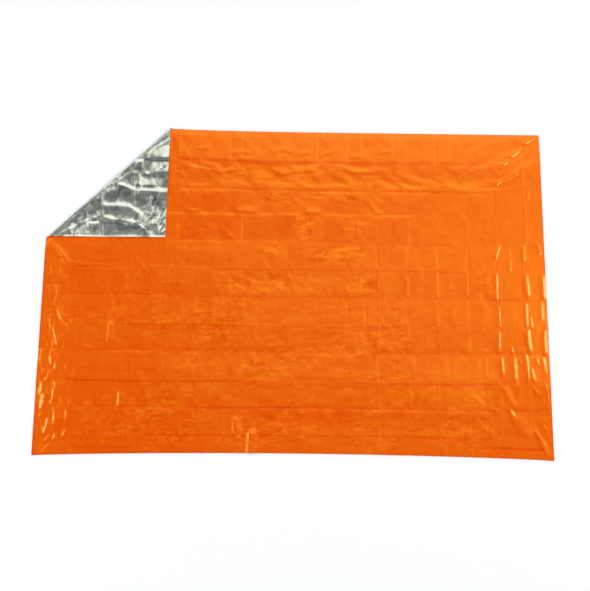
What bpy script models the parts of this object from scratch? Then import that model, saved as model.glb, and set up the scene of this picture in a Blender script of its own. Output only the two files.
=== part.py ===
"""Emergency foil blanket: one rectangle of metallised film, spread out flat, with one corner turned over.

Metres, +Z up. X runs along the blanket and Y across it. The origin is the middle of its bounding box, on the
surface that it lies on. The film is orange on its face, which lies upwards, and silver on its back, which
shows where the corner is turned over. The solid is drawn thicker than film, so that it is a sound solid.
"""

import math

import bmesh
import bpy

# The cut sheet
LENGTH = 2.130
WIDTH = 1.420
FILM = 0.001

# The turned corner. The fold line cuts the two edges at this distance from the corner, so it runs at 45
# degrees. The film bends over it in a soft roll, which is tighter towards the far edge.
CORNER_LEG = 0.508
FOLD_LENGTH = CORNER_LEG * math.sqrt(2.0)
LEFT_ROLL_RADIUS = 0.011
FAR_ROLL_RADIUS = 0.007
ROLL_STEPS = 6
FLAP_CLEARANCE = 0.0035
FLAP_SETTLE = 0.070
FLAP_SHRINK = 0.014
FLAP_SLIP_LEFT = 0.004
FLAP_SLIP_FAR = 0.008
FLAP_RIDGE = 0.0045
FLAP_RIDGE_START = 0.060

# Creases that run the length of the sheet, left by folding it into a packet: ridges, with a height, turn
# about with flat-bottomed valleys, which touch the floor
LONG_CREASES = (
    {"from_far_edge": 0.140, "ridge": 0.0050},
    {"from_far_edge": 0.276, "ridge": 0.0},
    {"from_far_edge": 0.384, "ridge": 0.0040},
    {"from_far_edge": 0.510, "ridge": 0.0},
    {"from_far_edge": 0.625, "ridge": 0.0045},
    {"from_far_edge": 0.747, "ridge": 0.0},
    {"from_far_edge": 0.870, "ridge": 0.0055},
    {"from_far_edge": 0.983, "ridge": 0.0},
    {"from_far_edge": 1.105, "ridge": 0.0045},
    {"from_far_edge": 1.219, "ridge": 0.0},
    {"from_far_edge": 1.330, "ridge": 0.0035},
    {"from_far_edge": 1.380, "ridge": 0.0},
)
EDGE_LIFT = 0.0015
VALLEY_HALF = 0.009
PANEL_BULGE = 0.0014

# Creases that cross the sheet at an even pitch: a ridge in one row of panels is a valley in the next
FIRST_CROSS_CREASE = 0.081
LAST_CROSS_CREASE = LENGTH - 0.084
CROSS_CREASES = 32
CROSS_PITCH = (LAST_CROSS_CREASE - FIRST_CROSS_CREASE) / (CROSS_CREASES - 1)
CROSS_RIDGE = 0.0011

# How far the two long edges bow in from a straight line between their corners
NEAR_EDGE_BOW = 0.019
FAR_EDGE_BOW = 0.0075

# Slow unevenness of the spread sheet, as waves that run aslant
SWELLS = (
    {"height": 0.0010, "along": 0.83, "across": 0.61, "turn": 0.4},
    {"height": 0.0008, "along": 0.37, "across": -0.94, "turn": 2.1},
    {"height": 0.0006, "along": -0.23, "across": 0.41, "turn": 4.0},
)

ORANGE = (0.90, 0.150, 0.008, 1.0)
CUT_SNAP = 0.0025


def smooth(share):
    """0 to 1 with level ends."""
    share = min(1.0, max(0.0, share))
    return share * share * (3.0 - 2.0 * share)


def bend_lines():
    """(y, height) of the lines that the sheet bends on, from the near edge to the far one."""
    lines = [(0.0, EDGE_LIFT), (WIDTH, EDGE_LIFT)]
    for crease in LONG_CREASES:
        y = WIDTH - crease["from_far_edge"]
        if crease["ridge"] > 0.0:
            lines.append((y, crease["ridge"]))
        else:
            lines += [(y - VALLEY_HALF, 0.0), (y + VALLEY_HALF, 0.0)]
    return sorted(lines)


BEND_LINES = bend_lines()


def panel_at(y):
    """The number of the panel that y lies in, how far across it, and the heights of its two sides."""
    y = min(WIDTH, max(0.0, y))
    number = 0
    while y > BEND_LINES[number + 1][0]:
        number += 1
    y0, low = BEND_LINES[number]
    y1, high = BEND_LINES[number + 1]
    return number, (y - y0) / (y1 - y0), low, high


def cross_ridge(x, number):
    """1 on a cross crease that is a ridge in this row of panels, -1 on one that is a valley."""
    return math.cos(math.pi * (x - FIRST_CROSS_CREASE) / CROSS_PITCH) * (-1) ** number


def relief(x, y):
    """Height of the sheet's back above the floor where it lies spread out."""
    number, share, low, high = panel_at(y)
    if low == high == 0.0:
        return 0.0
    swell = 0.0
    for wave in SWELLS:
        phase = 2.0 * math.pi * (x / wave["along"] + y / wave["across"]) + wave["turn"]
        swell += wave["height"] * (1.0 + math.sin(phase))
    bulge = PANEL_BULGE + CROSS_RIDGE * cross_ridge(x, number) + swell
    return max(0.0, low + (high - low) * share + bulge * math.sin(math.pi * share))


def flap_relief(x, y):
    """Height of the turned corner's own ridges, at a point of the flat sheet."""
    number, share, _, _ = panel_at(y)
    return FLAP_RIDGE * (0.5 + 0.5 * cross_ridge(x, number)) * math.sin(math.pi * share)


def bowed(x, y):
    """Plan position of a point of the flat sheet: its long edges bow in a little."""
    near = NEAR_EDGE_BOW * math.sin(math.pi * min(1.0, max(0.0, x / LENGTH))) ** 0.7
    along = min(1.0, max(0.0, (x - CORNER_LEG) / (LENGTH - CORNER_LEG)))
    far = FAR_EDGE_BOW * math.sin(math.pi * math.sqrt(along))
    return x, y + near * (1.0 - y / WIDTH) ** 2 - far * (y / WIDTH) ** 3


def roll_radius(along):
    share = smooth(along / FOLD_LENGTH)
    return LEFT_ROLL_RADIUS + (FAR_ROLL_RADIUS - LEFT_ROLL_RADIUS) * share


def folded(x, y):
    """Where a point of the flat sheet lies once the corner is turned over.

    over is its distance from the fold line, negative on the corner that is turned over, and along runs
    along that line. inward is its distance from the line once folded, and turned the angle of the roll.
    """
    over = (x - y + WIDTH - CORNER_LEG) / math.sqrt(2.0)
    along = (x + y - WIDTH + CORNER_LEG) / math.sqrt(2.0)
    radius = roll_radius(along)
    if over >= radius:
        level = relief(x, y) * smooth(over / (4.0 * radius))
        return *bowed(x, y), level
    turned = min(math.pi, (radius - over) / radius)
    beyond = max(0.0, radius - over - math.pi * radius)
    inward = radius - radius * math.sin(turned) + beyond * (1.0 - FLAP_SHRINK)
    slip = FLAP_SLIP_LEFT + (FLAP_SLIP_FAR - FLAP_SLIP_LEFT) * along / FOLD_LENGTH
    along += slip * smooth(turned / math.pi)
    plan_x = (along + inward) / math.sqrt(2.0)
    plan_y = WIDTH - CORNER_LEG + (along - inward) / math.sqrt(2.0)
    level = relief(plan_x, plan_y) * smooth(inward / (4.0 * radius))
    lift = radius * (1.0 - math.cos(turned))
    if beyond > 0.0:
        settled = 2.0 * FILM + FLAP_CLEARANCE
        lift = settled + (lift - settled) / (1.0 + (beyond / FLAP_SETTLE) ** 2)
        lift += flap_relief(x, y) * smooth(beyond / FLAP_RIDGE_START)
    return plan_x, plan_y, level + lift


def cut(sheet, point, normal):
    bmesh.ops.bisect_plane(
        sheet,
        geom=sheet.verts[:] + sheet.edges[:] + sheet.faces[:],
        dist=CUT_SNAP,
        plane_co=point,
        plane_no=normal,
    )


def flat_sheet():
    """The cut rectangle, divided along every line that it will bend on."""
    sheet = bmesh.new()
    corners = [(0.0, 0.0), (LENGTH, 0.0), (LENGTH, WIDTH), (0.0, WIDTH)]
    sheet.faces.new([sheet.verts.new((x, y, 0.0)) for x, y in corners])
    for number in range(CROSS_CREASES):
        cut(sheet, (FIRST_CROSS_CREASE + number * CROSS_PITCH, 0.0, 0.0), (1.0, 0.0, 0.0))
    for (y0, _), (y1, _) in zip(BEND_LINES, BEND_LINES[1:]):
        cut(sheet, (0.0, y1, 0.0), (0.0, 1.0, 0.0))
        if y1 - y0 > 2.5 * VALLEY_HALF:
            cut(sheet, (0.0, (y0 + y1) / 2.0, 0.0), (0.0, 1.0, 0.0))
    for step in range(ROLL_STEPS + 1):
        over = LEFT_ROLL_RADIUS * (1.0 - math.pi * step / ROLL_STEPS)
        point = (over * math.sqrt(2.0), WIDTH - CORNER_LEG, 0.0)
        cut(sheet, point, (1.0, -1.0, 0.0))
    bmesh.ops.triangulate(sheet, faces=sheet.faces[:])
    return sheet


def film_material():
    material = bpy.data.materials.new("orange_film")
    material.use_nodes = True
    shader = material.node_tree.nodes["Principled BSDF"]
    shader.inputs["Base Color"].default_value = ORANGE
    shader.inputs["Roughness"].default_value = 0.25
    shader.inputs["Metallic"].default_value = 0.3
    return material


def make_blanket():
    sheet = flat_sheet()
    for vert in sheet.verts:
        vert.co = folded(vert.co.x, vert.co.y)
    for axis in (0, 1):
        places = [vert.co[axis] for vert in sheet.verts]
        middle = (min(places) + max(places)) / 2.0
        for vert in sheet.verts:
            vert.co[axis] -= middle
    mesh = bpy.data.meshes.new("blanket")
    sheet.to_mesh(mesh)
    sheet.free()
    mesh.materials.append(film_material())
    blanket = bpy.data.objects.new("blanket", mesh)
    bpy.context.scene.collection.objects.link(blanket)
    # The faces are the film's back, and its thickness lies on their upper side, so the valleys stay flat
    wall = blanket.modifiers.new("film", "SOLIDIFY")
    wall.thickness = FILM
    wall.offset = 1.0


for old in list(bpy.data.objects):
    bpy.data.objects.remove(old, do_unlink=True)
make_blanket()
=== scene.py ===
import math

import bpy
import numpy as np
from mathutils import Matrix, Vector


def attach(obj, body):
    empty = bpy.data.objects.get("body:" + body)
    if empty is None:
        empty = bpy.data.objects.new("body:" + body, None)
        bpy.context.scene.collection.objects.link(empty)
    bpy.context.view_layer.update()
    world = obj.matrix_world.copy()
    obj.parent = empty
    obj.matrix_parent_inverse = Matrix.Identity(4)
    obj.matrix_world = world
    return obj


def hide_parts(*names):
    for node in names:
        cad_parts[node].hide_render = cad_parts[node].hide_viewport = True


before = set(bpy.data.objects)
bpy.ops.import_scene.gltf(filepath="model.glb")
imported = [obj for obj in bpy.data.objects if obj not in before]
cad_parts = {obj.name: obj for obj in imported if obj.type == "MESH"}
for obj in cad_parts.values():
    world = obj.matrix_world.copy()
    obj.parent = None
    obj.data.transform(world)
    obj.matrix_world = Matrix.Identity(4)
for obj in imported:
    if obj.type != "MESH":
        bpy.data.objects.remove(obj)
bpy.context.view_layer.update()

# Emergency foil blanket: orange film, silver on its back, spread flat with one corner turned over.
# Metres, +Z up. s runs along the cut sheet from its left end, t across it from its near edge.
# Tables of marks and folds are in millimetres: x from the left end and q from the far edge.

sheetCut = {
    "length": 2.130,
    "width": 1.420,
    "film": 0.00035,
    "skinsApart": 0.8,  # how much lower the coarser back lies, so that it is clear of the face
}
sheetLong = sheetCut["length"]
sheetWide = sheetCut["width"]


def smooth(share):
    # 3a^2 - 2a^3 with a held between 0 and 1
    a = np.clip(share, 0.0, 1.0)
    return a * a * (3.0 - 2.0 * a)


def tent(distance, halfWidth):
    # 1 on the line, falling straight to 0 at halfWidth
    return np.clip(1.0 - np.abs(distance) / halfWidth, 0.0, None)


def between(place, start, stop, fade, ragged=0.0):
    # 1 from start to stop, rising from 0 over fade just inside them; ragged moves both of them inwards
    return smooth((place - start - ragged) / fade) * smooth((stop - ragged - place) / fade)


lattice = {"draws": 128, "shear": 0.577, "squeeze": 1.155}  # of nearly even triangles


def facetNoise(x, y, pitch, seed):
    # random heights from -1 to 1 at the corners of a lattice of triangles, joined by flat facets
    count = lattice["draws"]
    draws = np.random.default_rng(seed).uniform(-1.0, 1.0, (count, count))
    u = (x + lattice["shear"] * y) / pitch
    v = lattice["squeeze"] * y / pitch
    i = np.floor(u).astype(int)
    j = np.floor(v).astype(int)
    a = u - i
    b = v - j
    corner = [[draws[(j + dj) % count, (i + di) % count] for di in (0, 1)] for dj in (0, 1)]
    lower = corner[0][0] * (1 - a - b) + corner[0][1] * a + corner[1][0] * b
    upper = corner[1][1] * (a + b - 1) + corner[0][1] * (1 - b) + corner[1][0] * (1 - a)
    return np.where(a + b < 1.0, lower, upper)


def crumple(x, y, pitch, seed):
    # the same facets on a plane that is itself pushed about, so that no two are alike
    push = 0.45 * pitch
    dx = facetNoise(x, y, 1.9 * pitch, seed + 1)
    dy = facetNoise(x, y, 1.9 * pitch, seed + 2)
    turn = 0.7 * seed
    u = x * math.cos(turn) - y * math.sin(turn)
    v = x * math.sin(turn) + y * math.cos(turn)
    return facetNoise(u + push * dx, v + push * dy, pitch, seed)


def nearest(place, lines):
    # number of the line that each place is nearest to
    return np.abs(place[..., None] - lines).argmin(axis=-1)


def slowWave(x, y, wave):
    # height * (1 + sin(2 pi (x / along + y / across) + turn))
    phase = 2.0 * math.pi * (x / wave["along"] + y / wave["across"]) + wave["turn"]
    return wave["height"] * (1.0 + np.sin(phase))


creases = {
    "ridgeFromFarEdge": [  # long creases: from the far edge, height or 0 in a valley, pinch right on it
        (0.140, 0.0036, -0.00012), (0.276, 0.0010, 0.00010), (0.384, 0.0002, 0.00014), (0.510, 0.0, 0.00015),
        (0.625, 0.0012, 0.00015), (0.747, 0.0, -0.00018), (0.870, 0.0018, -0.00005), (0.983, 0.0, -0.00020),
        (1.105, 0.0018, -0.00005), (1.219, 0.0, -0.00020), (1.335, 0.0, 0.0), (1.380, 0.0, 0.0)],
    "edgeLift": 0.0004,
    "valleyHalf": 0.009,
    "panelBulge": 0.0002,
    "panelRound": 0.012,    # how far from its creases a panel rounds down
    "firstCross": 0.081,
    "lastCross": sheetLong - 0.084,
    "crossCount": 32,
    "crossRidge": 0.0002,
    "airGap": 0.0013,       # how far the film's valleys stand off the floor
    "crossPinch": 0.00040,  # sharp rise or dip right on a cross crease
    "pinchHalf": 0.0045,
    "panelTilt": 0.0010,    # how far the film is up or down where two creases cross
    "crossWander": 0.0035,  # how far a cross crease is out of line from one row of panels to the next
    "wanderBlend": 0.010,   # and how far from a long crease that starts
    "waver": 0.0022,        # how far the long creases waver
    "calmFrom": 0.14,       # rows near the far edge, where the cross creases hardly show
    "calmTo": 0.52,
    "calmRight": 1.65,
    "calmLess": 0.65,
    "swells": [
        {"height": 0.00035, "along": 0.83, "across": 0.61, "turn": 0.4},
        {"height": 0.00025, "along": 0.37, "across": -0.94, "turn": 2.1},
        {"height": 0.00015, "along": -0.23, "across": 0.41, "turn": 4.0}],
}

rowLines = np.array(sorted(sheetWide - q for q, _, _ in creases["ridgeFromFarEdge"]))
rowPinch = np.array([pinch for _, _, pinch in sorted(creases["ridgeFromFarEdge"], reverse=True)])
crossLines = np.linspace(creases["firstCross"], creases["lastCross"], creases["crossCount"])
crossPitch = crossLines[1] - crossLines[0]


def bendLines():
    # (t, height) of the lines that the sheet bends on, valleys as flat strips
    half = creases["valleyHalf"]
    lines = [(0.0, creases["edgeLift"]), (sheetWide, creases["edgeLift"])]
    for fromFar, ridge, _ in creases["ridgeFromFarEdge"]:
        t = sheetWide - fromFar
        lines += [(t, ridge)] if ridge else [(t - half, 0.0), (t + half, 0.0)]
    lines = np.array(sorted(lines))
    return lines[:, 0], lines[:, 1]


bendAt, bendHeight = bendLines()


def relief(s, t):
    # height of the film's back above the floor: ridge or valley level, plus a pillow on each panel
    t = np.clip(t, 0.0, sheetWide)
    panel = np.clip(np.searchsorted(bendAt, t, side="left") - 1, 0, len(bendAt) - 2)
    share = (t - bendAt[panel]) / (bendAt[panel + 1] - bendAt[panel])
    level = np.interp(t, bendAt, bendHeight)
    flat = (bendHeight[panel] == 0.0) & (bendHeight[panel + 1] == 0.0)
    cycles = (s - creases["firstCross"]) / crossPitch
    zigzag = 2.0 * np.abs(np.mod(cycles, 2.0) - 1.0) - 1.0
    side = np.where(panel % 2 == 0, 1.0, -1.0)
    swell = sum(slowWave(s, t, wave) for wave in creases["swells"])
    pillow = creases["panelBulge"] + creases["crossRidge"] * zigzag * side
    swell = swell * between(t, 0.0, sheetWide, 0.03)
    across = bendAt[panel + 1] - bendAt[panel]
    roundShare = np.minimum(0.5, creases["panelRound"] / across)
    rounded = smooth(share / roundShare) * smooth((1.0 - share) / roundShare) * smooth(across / 0.10)
    return np.where(flat, 0.0, level + pillow * rounded) + swell


def calmRows(s, t):
    # 1, but less by calmLess in the calm rows, apart from their right end
    inside = between(sheetWide - t, creases["calmFrom"], creases["calmTo"], 0.02)
    return 1.0 - creases["calmLess"] * inside * smooth((creases["calmRight"] - s) / 0.10)


def panelTilt(s, t):
    # every panel leans a little: random heights where the creases cross, joined evenly along and across
    crossAt = np.concatenate([[0.0], crossLines, [sheetLong]])
    rowAt = np.concatenate([[0.0], rowLines, [sheetWide]])
    draws = np.random.default_rng(71).uniform(0.0, 1.0, (len(rowAt), len(crossAt)))
    i = np.clip(np.searchsorted(crossAt, s, side="right") - 1, 0, len(crossAt) - 2)
    j = np.clip(np.searchsorted(rowAt, t, side="right") - 1, 0, len(rowAt) - 2)
    a = (s - crossAt[i]) / (crossAt[i + 1] - crossAt[i])
    b = (t - rowAt[j]) / (rowAt[j + 1] - rowAt[j])
    low = draws[j, i] * (1.0 - a) + draws[j, i + 1] * a
    high = draws[j + 1, i] * (1.0 - a) + draws[j + 1, i + 1] * a
    return creases["panelTilt"] * (low * (1.0 - b) + high * b) * calmRows(s, t)


def creasePinch(s, t):
    # a narrow tent on each crease: as rowPinch says, and up on every second cross crease, down on the others
    half = creases["pinchHalf"]
    nearCross = nearest(s, crossLines)
    nearRow = nearest(t, rowLines)
    rowNumber = np.searchsorted(rowLines, t)
    crossSide = np.where((nearCross + rowNumber) % 2 == 0, 1.0, -1.0)
    strong = np.where(nearCross % 2 == 1, 1.0, 0.55)
    cross = tent(s - crossLines[nearCross], half) * crossSide * strong * calmRows(s, t)
    return creases["crossPinch"] * cross + rowPinch[nearRow] * tent(t - rowLines[nearRow], half)


# q of the crease: side of it in steps of half, x from, x to, and tone, below 0 dark and above 0 pale: painted
# shade and painted highlights along the long creases
rowPaintedShading = {
    140: [(0, 545, 640, -1), (0, 655, 1450, -1), (0, 1450, 1960, -0.6), (1, 560, 1960, -0.5)],
    276: [(-1, 780, 870, -0.5), (-1, 1050, 1385, -0.4), (-1, 1385, 1900, -0.2), (0, 520, 780, 0.1),
      (0, 880, 1040, 0.4), (1, 1080, 1300, 0.6)],
    384: [(-1, 860, 940, 0.1), (-1, 940, 1080, 0.3), (-1, 1120, 1240, 0.2), (-1, 1480, 1900, 0.3),
      (-1, 1300, 1480, 0.7), (1, 860, 1110, -0.7), (1, 1190, 1900, -0.2)],
    510: [(0, 520, 840, 0.5), (-1, 1200, 1750, -0.6)],
    625: [(-1, 140, 300, 0.6), (1, 130, 520, -1), (0, 130, 520, -0.3), (-1, 420, 700, 0.7),
      (1, 700, 1460, -0.6), (1, 1460, 1800, -0.5)],
    747: [(0, 60, 500, -0.6), (0, 500, 800, -0.2), (0, 800, 1450, -0.5), (0, 1450, 1700, -0.2),
      (0, 1860, 2110, -1)],
    870: [(1, 300, 1000, -0.45), (1, 1180, 1620, -0.6), (0, 1760, 2090, -0.1), (-1, 380, 1000, 0.7),
      (1, 1000, 1180, -0.5)],
    983: [(0, 100, 480, -0.5), (0, 480, 1150, -0.45), (1, 480, 700, -0.3), (2, 780, 1150, 0.2),
      (0, 1200, 1700, -0.55), (0, 1700, 2050, -0.35)],
    1105: [(1, 120, 480, -0.8), (1, 480, 840, -0.7), (1, 1160, 1950, -1), (-1, 520, 1300, 0.6),
      (2, 840, 1160, -0.9)],
    1219: [(0, 620, 1900, -1.2), (0, 1900, 2090, -0.8), (0, 120, 600, -0.5)],
    1335: [(0, 450, 1880, -0.8)],
    1376: [(0, 1770, 2096, -1.2)],
    1390: [(0, 1740, 1960, -0.6), (0, 170, 460, -0.8)],
    1411: [(0, 300, 700, -0.4)]}

columnPaintedShading = [  # x, q from, q to, tone: painted highlight (above 0) and painted shade (below 0) on cross creases that stand out
    (556.4, 6, 134, 1), (547.3, 10, 140, -0.7), (583.6, 6, 134, 0.4), (828.2, 10, 140, 0.8),
    (1090.8, 10, 120, 0.5), (1154.2, 10, 130, 0.7), (1285.4, 10, 130, 1), (1344.3, 10, 130, 0.7),
    (1416.7, 10, 130, 0.6), (1480.1, 10, 130, 0.6), (1543.5, 10, 130, 0.7), (828.2, 392, 500, 0.8),
    (837.2, 392, 500, -0.8), (556.4, 400, 500, 0.5), (1117.9, 390, 505, -0.7), (1317.1, 395, 500, -0.7),
    (1326.2, 395, 470, 0.5), (1412.2, 400, 740, -0.5), (1407.7, 400, 740, 0.5), (1475.6, 400, 600, -0.4),
    (900.6, 870, 975, 0.5), (1353.3, 760, 980, 0.7), (1412.2, 640, 975, -0.6), (1416.7, 640, 975, 0.7),
    (1412.2, 990, 1330, 0.7), (1407.7, 1110, 1330, -0.5), (287.8, 740, 860, 0.5), (351.2, 640, 740, 0.5),
    (496, 640, 860, 0.3), (524.6, 4, 140, -1.2), (538, 4, 140, -0.4), (1543.5, 400, 600, 0.6),
    (1543.5, 650, 740, 0.9), (1552.6, 650, 740, -0.5), (1670.4, 530, 740, 0.6), (1670.4, 755, 860, 0.5),
    (1797.3, 530, 860, 0.8), (1806.4, 530, 860, -0.5), (1797.3, 880, 975, 0.6), (1543.5, 990, 1210, 0.7),
    (1670.4, 995, 1090, 0.5), (1733.8, 995, 1090, 0.6), (1670.4, 1225, 1330, 0.6), (1860.8, 650, 740, 0.5),
    (1924.2, 300, 375, -0.5), (2046, 150, 500, -0.6), (2055, 150, 500, 0.5), (1924.2, 640, 1090, -0.4),
    (1924.2, 1110, 1330, 0.6), (2046, 1110, 1330, 0.6), (1985, 1110, 1210, -0.4)]

panelPaintedShading = [  # x from, x to, q from, q to, tone: painted shade (below 0) and painted reflection (above 0) on flats that stand out
    (556, 828, 288, 376, -0.4), (1172, 1371, 318, 376, -0.35), (1425, 1670, 300, 376, -0.3),
    (556, 828, 394, 500, -0.42), (846, 1064, 394, 500, -0.38), (1172, 1263, 394, 500, -0.36),
    (1353, 1407, 470, 500, -0.3), (1426, 1598, 394, 500, -0.25), (538, 810, 572, 615, -0.2),
    (1027, 1190, 530, 615, -0.25), (120, 500, 540, 612, -0.25), (120, 500, 636, 740, -0.2),
    (320, 520, 880, 900, -0.4), (140, 560, 1050, 1096, -0.12), (120, 480, 1020, 1050, 0.12),
    (846, 1450, 1230, 1278, -0.42), (1450, 1900, 1230, 1270, -0.2), (120, 640, 1228, 1300, -0.12),
    (560, 810, 150, 200, -0.15), (1290, 1470, 170, 214, -0.35), (950, 1100, 208, 226, -0.3),
    (860, 1450, 180, 208, 0.6), (560, 860, 184, 208, 0.35), (720, 860, 180, 206, -0.2),
    (880, 1200, 186, 204, 0.35), (1560, 1640, 176, 236, -0.15), (860, 1400, 228, 262, 0.45),
    (1420, 1900, 224, 262, 0.45), (560, 850, 222, 254, 0.5), (860, 1150, 268, 284, 0.5),
    (1150, 1900, 268, 284, 0.33), (1150, 1450, 148, 164, -0.35), (1740, 1920, 146, 168, -0.6),
    (1750, 1900, 940, 970, 0.25), (1750, 1900, 1180, 1212, 0.25), (850, 990, 530, 562, 0.5),
    (1200, 1380, 536, 590, 0.45), (870, 1380, 650, 735, 0.3), (1440, 1490, 640, 735, 0.35),
    (600, 660, 368, 380, 0.6), (530, 1150, 536, 566, 0.35), (560, 850, 630, 652, 0.25),
    (1690, 1900, 990, 1098, 0.35), (1690, 1900, 1120, 1212, 0.35), (120, 480, 765, 860, -0.2),
    (830, 1150, 755, 860, 0.15), (820, 1060, 1050, 1098, 0.3), (560, 1760, 1128, 1172, 0.28),
    (1450, 1900, 1046, 1098, 0.25), (1860, 2100, 150, 270, -0.15), (1932, 2032, 530, 972, 0.22),
    (2052, 2110, 530, 1090, 0.25), (100, 620, 1300, 1396, -0.2), (1000, 1900, 1302, 1334, 0.35),
    (1900, 2030, 1250, 1330, -0.3), (1905, 1975, 1125, 1210, 0.3), (1990, 2030, 1120, 1210, 0.25),
    (2040, 2100, 1290, 1350, -0.25)]

wrinklePaintedShading = [  # tone, then x, q, x, q and on: thin painted shade and highlight lines of the slanting wrinkles
    (-0.7, 1922, 1126, 1950, 1152, 1980, 1180), (-0.5, 1936, 1160, 1972, 1196),
    (0.5, 1938, 1118, 1968, 1150), (-0.6, 1892, 1186, 1926, 1214), (-0.5, 1846, 1214, 1900, 1240),
    (-0.6, 1958, 1254, 1990, 1300), (0.4, 1975, 1252, 2004, 1296), (-0.6, 1828, 1292, 1872, 1330),
    (-0.5, 1850, 1250, 1905, 1306), (-0.5, 1925, 1296, 1984, 1322), (0.4, 1940, 1310, 2000, 1332),
    (-0.9, 2062, 1336, 2086, 1362, 2102, 1378), (-0.6, 2054, 1352, 2080, 1366),
    (-0.5, 2064, 1262, 2086, 1290), (-0.6, 2048, 1106, 2066, 1140, 2084, 1164),
    (-0.5, 2088, 1232, 2094, 1262), (-0.4, 2000, 1110, 2026, 1134), (-0.9, 1836, 1368.5, 1960, 1370),
    (0.8, 1716, 690, 1735, 700), (-0.6, 1716, 706, 1730, 716), (0.5, 1668, 566, 1690, 580),
    (0.6, 1690, 1116, 1736, 1160, 1760, 1210), (-0.4, 1700, 1108, 1752, 1162, 1780, 1214),
    (0.6, 1772, 1122, 1800, 1166, 1826, 1212), (0.4, 1640, 1136, 1676, 1200)]


def pathTone(x, q, paths, reach):
    # the strongest of the paths' tones, each straight down to nothing at reach away from its path
    tone = np.zeros(np.shape(x))
    for value, *path in paths:
        points = np.array(path, float).reshape(-1, 2)
        for (x0, q0), (x1, q1) in zip(points[:-1], points[1:]):
            run = (x1 - x0) ** 2 + (q1 - q0) ** 2
            share = np.clip(((x - x0) * (x1 - x0) + (q - q0) * (q1 - q0)) / run, 0.0, 1.0)
            away = np.hypot(x - x0 - share * (x1 - x0), q - q0 - share * (q1 - q0))
            line = value * tent(away, reach)
            tone = np.where(np.abs(line) > np.abs(tone), line, tone)
    return tone


# how far the painted shade and highlight marks reach and how ragged the painted flats are, in millimetres
toneReach = {"row": 6.0, "column": 7.0, "wrinkle": 6.0, "corner": 5.0, "rim": 7.0, "cross": 4.8,
             "besideCross": 5.0, "raggedFlat": 16.0, "raggedFacet": 14.0}
# painted shade along the cut edges of the film
rimPaintedShade = -0.55


def paintedShadeAndSheen(x, q, creaseS, creaseT):
    # x and q in millimetres: painted shade and painted highlights of the long creases, single cross creases,
    # flats and wrinkles, with a thin uneven line of painted highlight and shade on all the cross creases and
    # painted shade along the rim
    tone = np.zeros(np.shape(x))
    along = 1000.0 * creaseS
    fromFar = 1000.0 * (sheetWide - creaseT)
    half = 1000.0 * creases["pinchHalf"]
    patchy = np.clip(1.05 + 0.7 * crumple(x, q, 60.0, 17), 0.55, 1.40)
    for crease, marks in rowPaintedShading.items():
        for side, x0, x1, value in marks:
            line = tent(fromFar - crease - side * half, toneReach["row"])
            tone = tone + value * line * between(x, x0, x1, 12.0) * patchy
    for at, q0, q1, value in columnPaintedShading:
        tone = tone + value * tent(along - at, toneReach["column"]) * between(q, q0, q1, 8.0)
    ragged = toneReach["raggedFlat"] * crumple(x, q, 50.0, 3)
    for x0, x1, q0, q1, value in panelPaintedShading:
        tone = tone + value * between(along, x0, x1, 8.0) * between(fromFar, q0, q1, 8.0, ragged)
    nearCross = nearest(creaseS, crossLines)
    rowNumber = np.searchsorted(rowLines, creaseT)
    # painted highlight and shade on each cross crease: a thin line with a fainter opposite one beside it,
    # strongest towards the right end
    uneven = np.random.default_rng(31).uniform(-1.0, 0.6, (len(rowLines) + 1, len(crossLines)))
    farRows = between(q, 130.0, 520.0, 20.0)
    toRight = (0.12 + 0.80 * smooth((x - 1100.0) / 500.0)) * (1.0 - 0.8 * farRows)
    strong = np.where(nearCross % 2 == 1, 1.0, 0.5)
    offset = along - 1000.0 * crossLines[nearCross]
    line = tent(offset, toneReach["cross"]) - 0.6 * tent(offset + 9.5, toneReach["besideCross"])
    edge = 1000.0 * np.minimum(np.minimum(creaseS, sheetLong - creaseS), creaseT)
    tone = tone - line * uneven[rowNumber, nearCross] * toRight * strong
    tone = tone + pathTone(x, q, wrinklePaintedShading, toneReach["wrinkle"])
    return tone + rimPaintedShade * tent(edge, toneReach["rim"])


def ridgeProfile(ahead, flank, back):
    # 1 on the crest, straight down to 0 over flank ahead of it and over back behind it
    return np.clip(1.0 - np.where(ahead > 0.0, ahead / flank, -ahead / back), 0.0, None)


def handFolds(x, q, sides, mostFade):
    # highest of the ridges in sides: rise * profile(distance from the crest) * fade at both ends
    x, q = 1000.0 * x, 1000.0 * q
    height = np.zeros(np.shape(x))
    for faces, rows in sides.items():
        alongX = faces in ("far", "near")
        run = x if alongX else q
        for flank, back, rise, *crest in rows:
            points = np.array(crest, float).reshape(-1, 2)
            runAt, crossAt = points.T if alongX else points.T[::-1]
            order = np.argsort(runAt)
            start, stop = runAt[order[0]], runAt[order[-1]]
            crestAt = np.interp(run, runAt[order], crossAt[order])
            past = (q if alongX else x) - crestAt
            offset = past if faces in ("near", "right") else -past
            fade = min(mostFade, 0.30 * (stop - start))
            ends = smooth((run - start) / fade + 0.5) * smooth((stop - run) / fade + 0.5)
            height = np.maximum(height, rise * ridgeProfile(offset, flank, back) * ends)
    return 0.001 * height


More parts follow.
